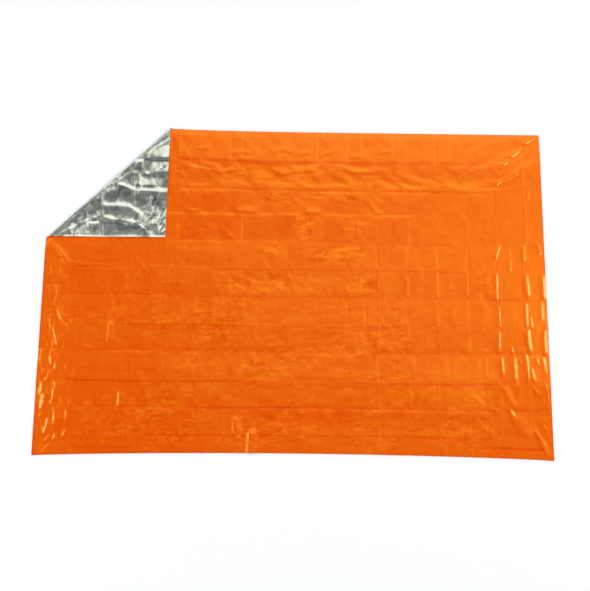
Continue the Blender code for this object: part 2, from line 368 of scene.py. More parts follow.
sheetFolds = {  # by the side that the flank faces: flank, back and rise, then the crest as x, q, x, q and on
    "rightStreaks": {"right": [
      (9, 19, 1.85, 1939, 508, 1924, 540, 1917, 572), (9, 19, 1.9, 2039, 508, 2041, 574),
      (9, 15, 1.9, 2104, 495, 2111, 545), (8, 19, 0.9, 1978, 520, 1978, 620),
      (8, 19, 1.4, 1918, 632, 1918, 752), (11, 19, 1.75, 2046, 635, 2051, 730),
      (10, 17, 1.5, 2116, 638, 2119, 742), (9, 19, 1.6, 1921, 772, 1922, 866),
      (9, 19, 1.6, 2041, 755, 2041, 864), (8, 15, 0.9, 2105, 757, 2106, 830),
      (7, 15, 0.9, 2055, 822, 2062, 868), (9, 19, 1.7, 1921, 888, 1918, 976),
      (12, 19, 1.9, 2040, 880, 2049, 975), (12, 19, 1.8, 2112, 878, 2112, 982),
      (7, 15, 1.2, 1970, 948, 1977, 980), (7, 15, 1.2, 2024, 955, 2031, 988),
      (9, 19, 1.7, 1926, 994, 1931, 1070), (12, 20, 2, 1980, 995, 1981, 1094),
      (9, 19, 1.7, 2031, 990, 2039, 1092), (8, 15, 1.2, 2050, 1040, 2064, 1100),
      (6, 14, 1, 2074, 985, 2080, 1025), (8, 15, 1.2, 2103, 993, 2111, 1062),
      (6, 14, 0.9, 2109, 1103, 2115, 1142), (12, 14, 2.2, 1953, 1210, 1970, 1246),
      (8, 12, 1.3, 2091, 1246, 2107, 1268), (7, 17, 1.1, 1829, 998, 1830, 1075),
      (7, 17, 1, 1773, 884, 1779, 978), (7, 17, 0.9, 1794, 763, 1803, 866),
      (7, 17, 0.9, 1795, 634, 1795, 748), (7, 17, 0.9, 1662, 640, 1665, 748),
      (9, 17, 1.2, 1542, 662, 1545, 748), (6, 15, 0.7, 1661, 778, 1665, 870),
      (12, 15, 2, 1550, 996, 1554, 1083), (7, 12, 1.2, 1610, 994, 1612, 1080),
      (10, 15, 1.7, 1682, 996, 1685, 1085), (6, 12, 1.1, 1732, 994, 1733, 1085),
      (6, 12, 1.1, 1862, 994, 1862, 1080), (6, 14, 1, 1542, 1117, 1543, 1212),
      (6, 14, 0.7, 1667, 1225, 1668, 1320)]},
    "leftStreaks": {"left": [
      (11, 16, 2.5, 33, 533, 57, 560, 75, 580, 100, 620), (9, 14, 1.7, 64, 712, 66, 747),
      (8, 14, 1.5, 63, 757, 58, 792, 81, 810), (11, 16, 2, 73, 813, 89, 850, 118, 882),
      (11, 16, 2, 55, 887, 69, 933, 79, 965), (9, 12, 1.4, 17, 985, 12, 1030),
      (14, 12, 2.2, 57, 990, 60, 1055), (8, 12, 1.3, 76, 1010, 73, 1066),
      (8, 12, 1.3, 26, 1060, 27, 1095), (9, 12, 1.5, 53, 1080, 46, 1107),
      (11, 12, 1.8, 27, 1118, 25, 1167), (13, 14, 2.3, 39, 1172, 28, 1230),
      (9, 14, 1.5, 83, 1122, 76, 1165, 68, 1215), (9, 12, 1.5, 67, 1235, 59, 1256),
      (9, 12, 1.6, 60, 1268, 50, 1322), (9, 14, 1.5, 133, 1233, 136, 1273),
      (9, 14, 1.4, 134, 1312, 126, 1340), (9, 12, 1.4, 94, 1332, 84, 1356),
      (8, 12, 1.3, 73, 1332, 56, 1357), (8, 10, 1.2, 76, 1370, 46, 1402),
      (11, 22, 2.85, 290, 868, 286, 950), (9, 16, 1.9, 346, 710, 347, 745),
      (9, 16, 1.3, 289, 752, 292, 810), (11, 20, 2.4, 346, 1153, 345, 1217),
      (9, 14, 1.3, 147, 605, 137, 623)]},
    "lightPatches": {"far": [
      (30, 12, 2.8, 960, 195, 1000, 204, 1060, 190, 1145, 186),
      (24, 10, 2.2, 1270, 180, 1300, 192, 1400, 190), (20, 10, 1.8, 690, 192, 740, 200, 790, 190),
      (30, 9, 1.1, 860, 268, 1140, 268), (26, 9, 1, 1150, 268, 1385, 268),
      (28, 9, 1, 1430, 268, 1900, 268), (30, 5, 1.9, 800, 380, 850, 377, 890, 380),
      (32, 5, 2.1, 1105, 378, 1160, 380), (26, 5, 1.8, 1400, 378, 1440, 380),
      (16, 5, 1.4, 590, 378, 645, 380), (16, 14, 1, 540, 552, 620, 556, 755, 548),
      (8, 8, 1.4, 760, 470, 806, 500)], "right": [
      (16, 14, 2, 1367, 310, 1385, 340, 1416, 378)]},
    "darkFlats": {"near": [
      (90, 9, 0.8, 560, 284.5, 860, 284.5), (86, 9, 0.9, 1160, 284.5, 1390, 284.5),
      (84, 9, 0.8, 1430, 284.5, 1640, 284.5), (110, 4.5, 0.9, 470, 388.5, 850, 388.5),
      (98, 4.5, 0.9, 860, 388.5, 1070, 388.5), (106, 4.5, 0.8, 1180, 388.5, 1310, 388.5),
      (106, 4.5, 0.9, 1400, 388.5, 1560, 388.5), (104, 4.5, 1.2, 140, 632, 480, 632),
      (98, 4.5, 0.8, 820, 1109.5, 1500, 1109.5), (90, 4.5, 0.8, 80, 1223.5, 700, 1223.5),
      (60, 4.5, 0.9, 900, 1223.5, 1900, 1223.5), (90, 5, 1, 300, 990, 520, 990)]},
    "paleFlats": {"far": [
      (84, 8, 2.2, 480, 1096, 900, 1096), (60, 8, 1.5, 1000, 1094, 1300, 1094),
      (70, 10, 1.5, 560, 968, 980, 966)]},
    "farRowMarks": {"near": [
      (9, 16, 1.3, 632, 96, 676, 90), (9, 16, 1.3, 786, 112, 820, 104, 860, 113),
      (9, 16, 1.2, 962, 104, 1000, 90, 1040, 104), (9, 16, 1.2, 1072, 108, 1118, 104),
      (9, 16, 1.3, 1180, 108, 1218, 98), (9, 16, 1.1, 1296, 118, 1348, 121),
      (9, 16, 1.1, 1430, 96, 1470, 92)]},
    "cornerWrinkles": {"right": [
      (28, 16, 2, 1923, 1115, 1950, 1165, 1975, 1210), (22, 16, 2.6, 1800, 1160, 1820, 1180, 1845, 1205),
      (10, 12, 1.8, 2072, 1346, 2086, 1366, 2104, 1394), (7, 10, 1, 2116, 1150, 2118, 1215),
      (10, 10, 1.6, 2054, 1118, 2074, 1150), (8, 10, 1, 1990, 1000, 2025, 1028),
      (16, 12, 3.1, 2116, 8, 2088, 24, 2060, 42), (16, 12, 2.8, 2050, 62, 2018, 90, 1998, 104),
      (14, 10, 2.6, 1985, 124, 1964, 142), (9, 10, 1.7, 2094, 118, 2078, 150),
      (9, 10, 1.6, 2072, 262, 2066, 296)], "left": [
      (34, 40, 1.2, 1975, 1240, 1998, 1285, 2020, 1325)], "far": [
      (22, 18, 1.6, 1812, 1262, 1845, 1290, 1885, 1318),
      (22, 14, 1.6, 2052, 1300, 2078, 1335, 2103, 1378),
      (18, 14, 1.2, 2080, 1262, 2105, 1300, 2116, 1340), (12, 10, 1.5, 1855, 1208, 1918, 1222),
      (18, 10, 1.9, 1930, 232, 2030, 180)]},
    "nearSpots": {"left": [
      (16, 30, 6.1, 813, 1258, 828, 1336), (20, 34, 7.6, 884, 1312, 880, 1412)]}}

foldFades = {"narrow": 14.0, "wide": 45.0, "corner": 36.0}  # ends fade over no more than this
wideFaded = ("lightPatches", "darkFlats", "paleFlats", "nearSpots")

crumpledPlaces = [  # x from, x to, q from, q to, facet pitch and height, share of fine crinkles
    (520, 1950, 150, 262, 30, 1.8, 0.55), (1800, 2100, 20, 260, 34, 1.6, 0.6),
    (900, 1500, 285, 335, 20, 0.8, 0.8), (1050, 1160, 395, 505, 20, 1.1, 0.9),
    (1240, 1400, 395, 470, 20, 1.1, 0.9), (840, 1020, 525, 580, 18, 1.3, 1.2),
    (1100, 1380, 525, 605, 22, 1.5, 1.2), (720, 1420, 640, 742, 19, 1.2, 1.2),
    (440, 1560, 750, 1104, 20, 0.6, 0.65), (140, 620, 640, 1104, 24, 0.4, 0.55),
    (150, 860, 1106, 1375, 26, 0.5, 0.75), (760, 1520, 1106, 1375, 24, 0.5, 0.75),
    (1420, 1880, 1106, 1375, 26, 0.5, 0.7), (0, 170, 560, 1400, 17, 0.5, 0.6)]

endCrumpled = [  # as above, with the facets drawn out across the blanket
    (0, 150, 600, 1340, 12, 0.8, 0), (1880, 2130, 500, 1130, 16, 0.2, 0)]


def placedCrumple(x, q, places, longX=2.2, longQ=1.0):
    # facets of each place, faded out at its borders, drawn out by longX and longQ
    x, q = 1000.0 * x, 1000.0 * q
    height = np.zeros(np.shape(x))
    for number, (x0, x1, q0, q1, pitch, rise, _) in enumerate(places):
        inside = between(x, x0, x1, 30.0) * between(q, q0, q1, 15.0)
        height = height + rise * inside * crumple(x / longX, q / longQ, pitch, 101 + 7 * number)
    return 0.001 * height


leastCrumpled = 0.30


def crumpledShare(x, q):
    # x and q in millimetres: how crumpled the film is, most in the places above, a little elsewhere, least
    # along the far edge and at the right end, and in patches everywhere
    share = np.full(np.shape(x), leastCrumpled)
    for x0, x1, q0, q1, _, _, most in crumpledPlaces:
        inside = between(x, x0, x1, 50.0) * between(q, q0, q1, 25.0)
        share = np.maximum(share, leastCrumpled + (most - leastCrumpled) * inside)
    patches = np.clip(0.80 + 0.9 * crumple(x / 1.5, q, 75.0, 5), 0.35, 1.2)
    calmFar = 1.0 - 0.6 * smooth((145.0 - q) / 10.0)
    calmRight = 1.0 - 0.6 * smooth((x - 1870.0) / 50.0)
    return share * patches * calmFar * calmRight


cornerCrumpled = [  # x and q from and to: where the silver corner is finely crumpled
    (90, 232, 300, 490), (405, 520, 305, 480), (225, 350, 190, 300), (360, 430, 185, 300),
    (460, 520, 150, 200), (300, 420, 400, 450)]


def cornerShare(x, q):
    # leastCrumpled, and up to 1 in the places above
    share = np.full(np.shape(x), leastCrumpled)
    for x0, x1, q0, q1 in cornerCrumpled:
        inside = between(x, x0, x1, 15.0) * between(q, q0, q1, 15.0)
        share = np.maximum(share, leastCrumpled + (1.0 - leastCrumpled) * inside)
    return share


turnedCorner = {
    "leg": 0.508,
    "leftRadius": 0.0052,
    "farRadius": 0.0048,
    "settled": 0.0032,    # how high the turned corner lies over the film below
    "settle": 0.011,
    "shrink": 0.014,
    "slipLeft": 0.004,
    "slipFar": 0.008,
    "ridgeStart": 0.028,
    "reliefStart": 0.03,  # how far from the roll the film has its full relief
    "hiddenCalm": 0.8,    # how much calmer the film is under the turned corner
    "hiddenIn": 0.006,
    "rightCalm": 0.5,     # and right of rightFrom
    "rightFrom": 1.87,
}
foldLength = turnedCorner["leg"] * math.sqrt(2.0)
foldStart = sheetWide - turnedCorner["leg"]

edgeBow = {"near": 0.019, "nearRound": 0.7, "nearFade": 20, "far": 0.0075, "farFade": 3}


def bowed(s, t):
    # the long edges bow in a little from the line between their corners
    near = edgeBow["near"] * np.sin(math.pi * np.clip(s / sheetLong, 0.0, 1.0)) ** edgeBow["nearRound"]
    along = np.clip((s - turnedCorner["leg"]) / (sheetLong - turnedCorner["leg"]), 0.0, 1.0)
    far = edgeBow["far"] * np.sin(math.pi * np.sqrt(along))
    across = t / sheetWide
    return s, t + near * (1.0 - across) ** edgeBow["nearFade"] - far * across ** edgeBow["farFade"]


def folded(s, t, creaseS, creaseT):
    # over is the distance from the fold line, negative on the corner that is turned over, and along runs
    # along that line; inward is the distance once folded, and turned the angle of the roll
    corner = turnedCorner
    over = (s - t + foldStart) / math.sqrt(2.0)
    along = (s + t - foldStart) / math.sqrt(2.0)
    radius = corner["leftRadius"] + (corner["farRadius"] - corner["leftRadius"]) * smooth(along / foldLength)
    turned = np.clip((radius - over) / radius, 0.0, math.pi)
    beyond = np.clip(radius - over - math.pi * radius, 0.0, None)
    spread = over >= radius
    inward = radius - radius * np.sin(turned) + beyond * (1.0 - corner["shrink"])
    slip = corner["slipLeft"] + (corner["slipFar"] - corner["slipLeft"]) * along / foldLength
    slid = along + slip * smooth(turned / math.pi)
    foldX = (slid + inward) / math.sqrt(2.0)
    foldY = foldStart + (slid - inward) / math.sqrt(2.0)
    bowX, bowY = bowed(s, t)
    x = np.where(spread, bowX, foldX)
    y = np.where(spread, bowY, foldY)

    inset = corner["hiddenIn"]
    hidden = smooth((corner["leg"] - inset - s) / 0.012) * smooth((t - foldStart - inset) / 0.012)
    atRight = smooth((s - corner["rightFrom"]) / 0.05)
    calm = (1.0 - corner["hiddenCalm"] * hidden) * (1.0 - corner["rightCalm"] * atRight)
    fine = creasePinch(creaseS, creaseT) + (panelTilt(creaseS, creaseT) + facetSum(s, t, sheetFacets)) * calm
    fine = fine + creases["airGap"]
    fromFar = sheetWide - bowY
    for name, sides in sheetFolds.items():
        fine = fine + handFolds(bowX, fromFar, sides, foldFades["wide" if name in wideFaded else "narrow"])
    fine = fine + placedCrumple(bowX, fromFar, crumpledPlaces)
    fine = fine + placedCrumple(bowX, fromFar, endCrumpled, 1.0, 2.4)
    reliefShare = smooth((over - radius) / corner["reliefStart"])
    flatLevel = relief(creaseS, creaseT) + fine * reliefShare
    level = np.where(spread, np.maximum(0.0, flatLevel) * smooth(over / (4.0 * radius)),
                     relief(foldX, foldY) * smooth(inward / (4.0 * radius)))
    lift = radius * (1.0 - np.cos(turned))
    laid = corner["settled"] + (lift - corner["settled"]) / (1.0 + (beyond / corner["settle"]) ** 2)
    laid = laid + flapRelief(foldX, foldY, s, t) * smooth(beyond / corner["ridgeStart"])
    lift = np.where(spread, 0.0, np.where(beyond > 0.0, laid, lift))
    return np.stack([x, y, level + lift], axis=-1), reliefShare


# facets of several pitches: height, pitch and seed
sheetFacets = [(0.0006, 0.085, 11), (0.0004, 0.040, 23), (0.0003, 0.022, 37)]
cornerFacets = [(0.0017, 0.075, 67), (0.0006, 0.030, 79)]


def facetSum(s, t, facets, start=0.0):
    # sum of height * (start + facets from -1 to 1)
    return sum(height * (start + crumple(s, t, pitch, seed)) for height, pitch, seed in facets)


cornerFolds = {"far": [  # as one group of sheetFolds, on the silver corner
      (12, 44, 2.6, 228, 410, 283, 423, 315, 424, 365, 434, 398, 448, 442, 486),
      (16, 34, 2.9, 228, 360, 345, 364, 379, 386, 413, 413), (17, 60, 5, 374, 291, 408, 291, 560, 298),
      (38, 6, 2.8, 388, 270, 455, 270), (10, 18, 1.7, 345, 214, 560, 214),
      (50, 9, 4.2, 440, 209, 560, 209), (60, 10, 4.2, 420, 143, 560, 143),
      (16, 12, 1.8, 232, 292, 242, 276, 297, 252, 338, 214), (8, 12, 1.2, 301, 266, 358, 282),
      (8, 10, 1.3, 382, 146, 414, 126, 455, 93, 510, 55),
      (7, 9, 1, 52, 484, 100, 436, 150, 388, 210, 326),
      (12, 16, 1.6, 60, 492, 110, 462, 160, 432, 222, 410), (12, 12, 1.8, 411, 392, 428, 362, 452, 326),
      (10, 10, 1.5, 440, 412, 455, 372, 480, 332), (10, 10, 1.5, 462, 446, 478, 406, 500, 356),
      (10, 10, 1.5, 470, 480, 490, 450, 506, 420)], "near": [
      (60, 10, 4.6, 290, 262, 376, 289), (38, 10, 4, 366, 160, 396, 160),
      (36, 8, 3.4, 173, 440, 222, 440)], "left": [
      (8, 9, 1.8, 358, 200, 360, 253, 359, 308, 368, 362), (8, 9, 1.8, 225, 306, 234, 496),
      (8, 9, 1.7, 113, 406, 117, 496)]}

cornerPaintedLines = [  # as wrinklePaintedShading: painted highlight and shade lines on the silver corner's creases
    (-0.9, 497, 40, 432, 93, 375, 144), (0.8, 504, 53, 414, 122), (-0.8, 506, 61, 466, 96, 414, 129),
    (-1, 435, 151, 503, 152), (-0.9, 399, 157, 415, 143, 435, 157), (-0.8, 399, 157, 416, 189, 435, 157),
    (-0.8, 368, 220, 448, 220), (-0.9, 448, 223, 462, 258), (-0.9, 481, 222, 505, 250),
    (-0.6, 385, 277, 460, 279), (0.9, 358, 207, 360, 253, 359, 308, 368, 356), (0.8, 301, 266, 358, 282),
    (0.7, 230, 343, 300, 347, 345, 356), (0.8, 351, 357, 379, 384, 413, 411),
    (0.8, 230, 410, 283, 423, 365, 434), (-0.9, 244, 437, 340, 444, 400, 474), (0.9, 113, 416, 117, 487),
    (1, 225, 314, 230, 400, 234, 485), (0.8, 180, 452, 216, 462), (0.6, 186, 470, 218, 446),
    (0.7, 260, 482, 300, 468), (0.7, 296, 488, 316, 474), (0.8, 330, 480, 372, 470),
    (0.7, 350, 492, 420, 488), (0.6, 240, 490, 290, 494), (0.9, 400, 478, 440, 500),
    (0.7, 428, 330, 406, 372), (0.9, 462, 340, 430, 400), (0.9, 490, 350, 462, 420),
    (0.8, 500, 390, 472, 446), (-0.7, 448, 420, 424, 392), (0.7, 480, 440, 500, 470),
    (0.8, 400, 420, 430, 446), (0.6, 386, 398, 372, 424), (0.3, 20, 499, 505, 501),
    (-0.8, 36, 466, 130, 374, 208, 297), (0.6, 128, 392, 170, 352), (0.7, 196, 336, 222, 306),
    (-0.5, 236, 276, 262, 264, 292, 262), (0.8, 440, 318, 424, 350, 408, 392), (-0.6, 452, 330, 440, 360),
    (-0.5, 474, 336, 452, 376), (-0.5, 494, 366, 470, 410), (-0.7, 412, 440, 440, 470),
    (0.7, 428, 432, 470, 486)]

cornerPaintedPanels = [  # as panelPaintedShading, on the silver corner: painted dark and pale reflections on its facets
    (368, 424, 298, 362, -0.5), (424, 484, 292, 314, -0.4), (282, 358, 292, 336, -0.5),
    (238, 290, 308, 332, -0.35), (302, 340, 272, 292, -0.4), (245, 322, 368, 402, -0.45),
    (300, 400, 450, 468, -0.5), (372, 398, 160, 198, -0.4), (394, 450, 232, 254, 0.3),
    (450, 508, 168, 206, 0.3), (436, 508, 80, 136, 0.4), (236, 276, 470, 496, 0.25),
    (174, 220, 440, 476, -0.4), (120, 170, 440, 470, 0.1), (320, 400, 408, 426, 0.2),
    (368, 404, 372, 398, 0.35), (250, 300, 222, 262, 0.25)]


def paintedCornerShading(x, q):
    # x and q in millimetres: painted highlight and shade lines of the paths, and painted dark and pale panels
    # with ragged borders
    tone = pathTone(x, q, cornerPaintedLines, toneReach["corner"])
    ragged = toneReach["raggedFacet"] * crumple(x, q, 40.0, 9)
    for x0, x1, q0, q1, value in cornerPaintedPanels:
        tone = tone + value * between(x - ragged, x0, x1, 6.0) * between(q, q0, q1, 6.0, ragged)
    return tone


edgeCurl = {"wide": 0.008, "rise": 0.0015}  # the turned corner's near edge bends up


def flapRelief(x, y, s, t):
    # the corner's folds, coarse and fine facets, and its bent edge
    height = handFolds(x, sheetWide - y, cornerFolds, foldFades["corner"])
    height = height + facetSum(s, t, cornerFacets, 1.0)
    return height + edgeCurl["rise"] * tent(s, edgeCurl["wide"])


meshLines = {
    "half": 0.0045,        # a line on each crease and one this far to either side of it
    "alongCells": [(0.0, 0.0043), (0.112, 0.0058), (0.535, 0.0092), (0.80, 0.0085), (1.45, 0.0100),
                   (1.86, 0.0043)],
    "acrossCells": [(0.0, 0.0090), (0.650, 0.0080), (0.885, 0.0058)],
    "fineAlong": 0.545,    # the back keeps every line up to here along the sheet, then every second one
    "fineAcross": 0.875,   # and every line from here on across it
    "wanderSeed": 5,
}


def linesBetween(lines, end, cells):
    # grid lines: on each crease, half to either side of it, and even ones in between, as fine as cells says
    half = meshLines["half"]
    starts, sizes = np.array(cells).T
    stops = np.concatenate([[0.0], lines, [end]])
    grid = [0.0]
    for start, stop in zip(stops[:-1], stops[1:]):
        low = start + (half if start > 0.0 else 0.0)
        high = stop - (half if stop < end else 0.0)
        if start > 0.0:
            grid.append(low)
        size = sizes[np.searchsorted(starts, 0.5 * (start + stop), side="right") - 1]
        count = max(1, round((high - low) / size))
        grid += list(np.linspace(low, high, count + 1)[1:])
        if stop < end:
            grid.append(stop)
    return np.array(grid)


def flatGrid():
    # every place of the cut sheet that gets a point
    sLines = linesBetween(crossLines, sheetLong, meshLines["alongCells"])
    tLines = linesBetween(rowLines, sheetWide, meshLines["acrossCells"])
    return np.meshgrid(sLines, tLines)


def wandered(creaseS, creaseT):
    # each row of panels is out of line with the next by a few millimetres, but the cut edges stay put
    rng = np.random.default_rng(meshLines["wanderSeed"])
    offsets = rng.uniform(-1.0, 1.0, len(rowLines) + 1) * creases["crossWander"]
    rowAt = np.searchsorted(rowLines, creaseT, side="right")
    nearRow = nearest(creaseT, rowLines)
    gap = (creaseT - rowLines[nearRow]) / creases["wanderBlend"]
    blend = smooth(0.5 + 0.5 * gap)
    blended = offsets[nearRow] * (1.0 - blend) + offsets[nearRow + 1] * blend
    shift = np.where(np.abs(gap) < 1.0, blended, offsets[rowAt])
    s = creaseS + shift * between(creaseS, 0.0, sheetLong, 0.06)
    acrossIn = smooth(creaseT / 0.03) * smooth((sheetWide - creaseT) / 0.06)
    t = creaseT + creases["waver"] * np.sin(creaseS * 5.3 + 9.0 * creaseT) * acrossIn
    return s, t


def everySecond(count, fine):
    # which grid lines the back keeps: all the fine ones, every second of the others, and both ends
    keep = fine | (np.arange(count) % 2 == 0)
    keep[[0, -1]] = True
    return keep


def gridTriangles(index):
    # two triangles to each cell of the grid
    a, b, c, d = index[:-1, :-1], index[:-1, 1:], index[1:, 1:], index[1:, :-1]
    return np.concatenate([np.stack(three, axis=-1).reshape(-1, 3) for three in ([a, b, c], [a, c, d])])


def gridRim(grid):
    # once round the border of the grid
    return np.concatenate([grid[0, :-1], grid[:-1, -1], grid[-1, :0:-1], grid[:0:-1, 0]])


def addObject(name, data):
    ob = bpy.data.objects.new(name, data)
    bpy.context.scene.collection.objects.link(ob)
    return ob


def closedFilm(name, back, face, uv, marks, keepRows, keepCols):
    # two skins and a rim: back is the silver side on the kept lines only, face the orange one on all lines
    rows, cols = face.shape[:2]
    kept = keepRows[:, None] & keepCols[None, :]
    backIndex = np.where(kept, np.cumsum(kept).reshape(rows, cols) - 1, -1)
    backCount = int(kept.sum())
    faceIndex = np.arange(rows * cols).reshape(rows, cols) + backCount
    backTris = gridTriangles(backIndex[np.ix_(keepRows, keepCols)])[:, ::-1]
    faceTris = gridTriangles(faceIndex)
    rimBack, rimFace, rimKept = gridRim(backIndex), gridRim(faceIndex), gridRim(kept)
    corners = np.flatnonzero(rimKept)
    owner = corners[np.searchsorted(corners, np.arange(len(rimFace)), side="right") - 1]
    nextCorner = np.roll(corners, -1)
    rimTris = np.concatenate([
        np.stack([rimBack[corners], rimBack[nextCorner], rimFace[nextCorner]], axis=-1),
        np.stack([rimBack[owner], np.roll(rimFace, -1), rimFace], axis=-1)])
    tris = np.concatenate([faceTris, backTris, rimTris])
    points = np.concatenate([back[kept], face.reshape(-1, 3)])
    mesh = bpy.data.meshes.new(name)
    mesh.from_pydata(points.tolist(), [], tris.tolist())
    slots = np.repeat([0, 1, 0], [len(faceTris), len(backTris), len(rimTris)])
    mesh.polygons.foreach_set("material_index", slots)
    mesh.polygons.foreach_set("use_smooth", np.ones(len(tris), bool))
    mesh.set_sharp_from_angle(angle=math.radians(60.0))
    uvLayer = mesh.uv_layers.new(name="filmPlace")
    uvAll = np.concatenate([uv[kept], uv.reshape(-1, 2)])
    uvLayer.data.foreach_set("uv", uvAll[tris.reshape(-1)].astype(np.float32).ravel())
    for label, values in marks.items():
        layer = mesh.attributes.new(label, "FLOAT", "POINT")
        layer.data.foreach_set("value", np.concatenate([values[kept], values.ravel()]).astype(np.float32))
    mesh.update()
    return addObject(name, mesh)


def gridNormals(points):
    # cross product of the two steps along the grid
    stepT, stepS = np.gradient(points, axis=(0, 1))
    normals = np.cross(stepS, stepT)
    return normals / np.linalg.norm(normals, axis=-1, keepdims=True)


finishes = {
    "orangeFilm": {
        "shader": {"Metallic": 0.0, "Roughness": 0.22, "IOR": 2.0, "Specular IOR Level": 1.0,
                   "Specular Tint": (1.0, 0.42, 0.0, 1.0), "Coat Weight": 0.30, "Coat Roughness": 0.11},
        "facets": [(8.0, 22.0, 0.06), (22.0, 56.0, 0.08)],  # cells per metre along and across, and their lean
        # web, patches and paintedLeanGain paint pale and dark crease lines, facet patches and facet shading
        # into the colour
        "web": (20.0, 42.0, 0.10, 0.7),
        "patches": [(32.0, 92.0, 0.80), (80.0, 38.0, 0.60), (16.0, 38.0, 0.45), (54.0, 74.0, 0.80)],
        "paintedLeanGain": 3.4,
        # the colours along the tone: the dark end is painted shade, the pale end painted highlight
        "colours": [(0.0, (0.83, 0.045, 0.0)), (0.5, (0.915, 0.0990, 0.0008)), (1.0, (0.98, 0.165, 0.004))],
        "crinkles": [(55.0, 0.6), (120.0, 0.3)], "crinkleStrength": 0.25, "crinkleHeight": 0.0008},
    "silverFilm": {
        "shader": {"Metallic": 0.87, "Roughness": 0.17},
        "facets": [(13.0, 17.0, 0.15), (34.0, 42.0, 0.20), (70.0, 90.0, 0.12)],
        # web and paintedLeanGain paint pale and dark crease lines and facet shading into the silver's colour
        "web": (34.0, 40.0, 0.12, 1.2),
        "patches": [],
        "paintedLeanGain": 3.0,
        # the silver's colours along the tone are painted dark and bright reflections of its facets and
        # creases
        "colours": [(0.1, (0.27, 0.325, 0.275)), (0.5, (0.62, 0.665, 0.575)), (1.0, (0.53, 0.56, 0.485))],
        "crinkles": [(60.0, 0.6), (130.0, 0.3)], "crinkleStrength": 0.20, "crinkleHeight": 0.0010},
}


def addNode(tree, kind, inputs, **settings):
    # a new node: inputs gives each socket its value or the socket that feeds it
    node = tree.nodes.new(kind)
    for label, value in settings.items():
        setattr(node, label, value)
    for socket, value in inputs.items():
        if isinstance(value, bpy.types.NodeSocket):
            tree.links.new(value, node.inputs[socket])
        else:
            node.inputs[socket].default_value = value
    return node


def mathNode(tree, operation, *inputs):
    return addNode(tree, "ShaderNodeMath", dict(enumerate(inputs)), operation=operation).outputs["Value"]


def vectorNode(tree, operation, *inputs):
    step = addNode(tree, "ShaderNodeVectorMath", dict(enumerate(inputs)), operation=operation)
    return step.outputs["Vector"]


def rangeNode(tree, value, low, high, toLow=0.0, toHigh=1.0):
    # value between low and high, turned into toLow to toHigh
    ends = {"Value": value, "From Min": low, "From Max": high, "To Min": toLow, "To Max": toHigh}
    return addNode(tree, "ShaderNodeMapRange", ends).outputs["Result"]


def rampNode(tree, share, places):
    # the colours at their places from 0 to 1
    ramp = addNode(tree, "ShaderNodeValToRGB", {"Fac": share})
    stops = ramp.color_ramp.elements
    while len(stops) < len(places):
        stops.new(0.5)
    for stop, (place, colour) in zip(stops, places):
        stop.position = place
        stop.color = (*colour, 1.0)
    return ramp.outputs["Color"]


def partsNode(tree, vector):
    return addNode(tree, "ShaderNodeSeparateXYZ", {0: vector}).outputs


def markNode(tree, name):
    return addNode(tree, "ShaderNodeAttribute", {}, attribute_name=name).outputs["Fac"]


def filmPlace(tree):
    # the film's own place map, in metres of the cut sheet
    return addNode(tree, "ShaderNodeUVMap", {}, uv_map="filmPlace").outputs["UV"]


def cellPlace(tree, along, across, start=(0.0, 0.0, 0.0)):
    # the place map counted in cells, along and across of them to the metre
    scaled = {"Vector": filmPlace(tree), "Location": start, "Scale": (along, across, 1.0)}
    return addNode(tree, "ShaderNodeMapping", scaled).outputs["Vector"]


def cellNode(tree, place, **settings):
    # irregular cells, one to each unit of place
    unit = {"Vector": place, "Scale": 1.0}
    return addNode(tree, "ShaderNodeTexVoronoi", unit, voronoi_dimensions="2D", **settings)


def newMaterial(name):
    material = bpy.data.materials.new(name)
    material.use_nodes = True
    return material, material.node_tree, material.node_tree.nodes["Principled BSDF"].inputs


def crinkleBump(tree, finish, under):
    # fine crinkles: distance within irregular cells of a few sizes, in the place map pushed about by noise
    place = filmPlace(tree)
    noise = addNode(tree, "ShaderNodeTexNoise", {"Vector": place, "Scale": 22.0, "Detail": 3.0})
    pushed = {"Factor": 0.035, 4: place, 5: noise.outputs["Color"]}
    mixed = addNode(tree, "ShaderNodeMix", pushed, data_type="VECTOR").outputs[1]
    height = 0.0
    for scale, share in finish["crinkles"]:
        cells = addNode(tree, "ShaderNodeTexVoronoi", {"Vector": mixed, "Scale": scale}, feature="F1")
        height = mathNode(tree, "MULTIPLY_ADD", cells.outputs["Distance"], share, height)
    bump = {"Strength": finish["crinkleStrength"], "Distance": finish["crinkleHeight"], "Height": height,
            "Normal": under}
    return addNode(tree, "ShaderNodeBump", bump).outputs["Normal"]


def facetLean(tree, sizes, share):
    # each cell of a few irregular meshes leans its own way: share * sum of reach * (colour - 0.5)
    lean = None
    for along, across, reach in sizes:
        cells = cellNode(tree, cellPlace(tree, along, across), distance="CHEBYCHEV")
        added = vectorNode(tree, "MULTIPLY_ADD", cells.outputs["Color"], (reach, reach, 0.0),
                           (-0.5 * reach, -0.5 * reach, 0.0))
        lean = added if lean is None else vectorNode(tree, "ADD", lean, added)
    held = addNode(tree, "ShaderNodeVectorMath", {0: lean, "Scale": share}, operation="SCALE")
    return held.outputs["Vector"]


def paintedCreaseWeb(tree, share, along, across, wide, reach):
    # painted highlight and shade lines along fine creases round irregular cells, each stretch of them paler
    # or darker:
    # reach * share * (noise from -0.7 to 1) * (1 - distance to the edge / wide)
    place = cellPlace(tree, along, across)
    cells = cellNode(tree, place, feature="DISTANCE_TO_EDGE")
    cells.inputs["Randomness"].default_value = 0.75
    line = rangeNode(tree, cells.outputs["Distance"], 0.0, wide, reach, 0.0)
    uneven = {"Vector": place, "Scale": 1.3, "Detail": 1.0}
    noise = addNode(tree, "ShaderNodeTexNoise", uneven, noise_dimensions="2D")
    side = rangeNode(tree, noise.outputs["Fac"], 0.30, 0.70, -0.7, 1.0)
    return mathNode(tree, "MULTIPLY", mathNode(tree, "MULTIPLY", line, side), share)


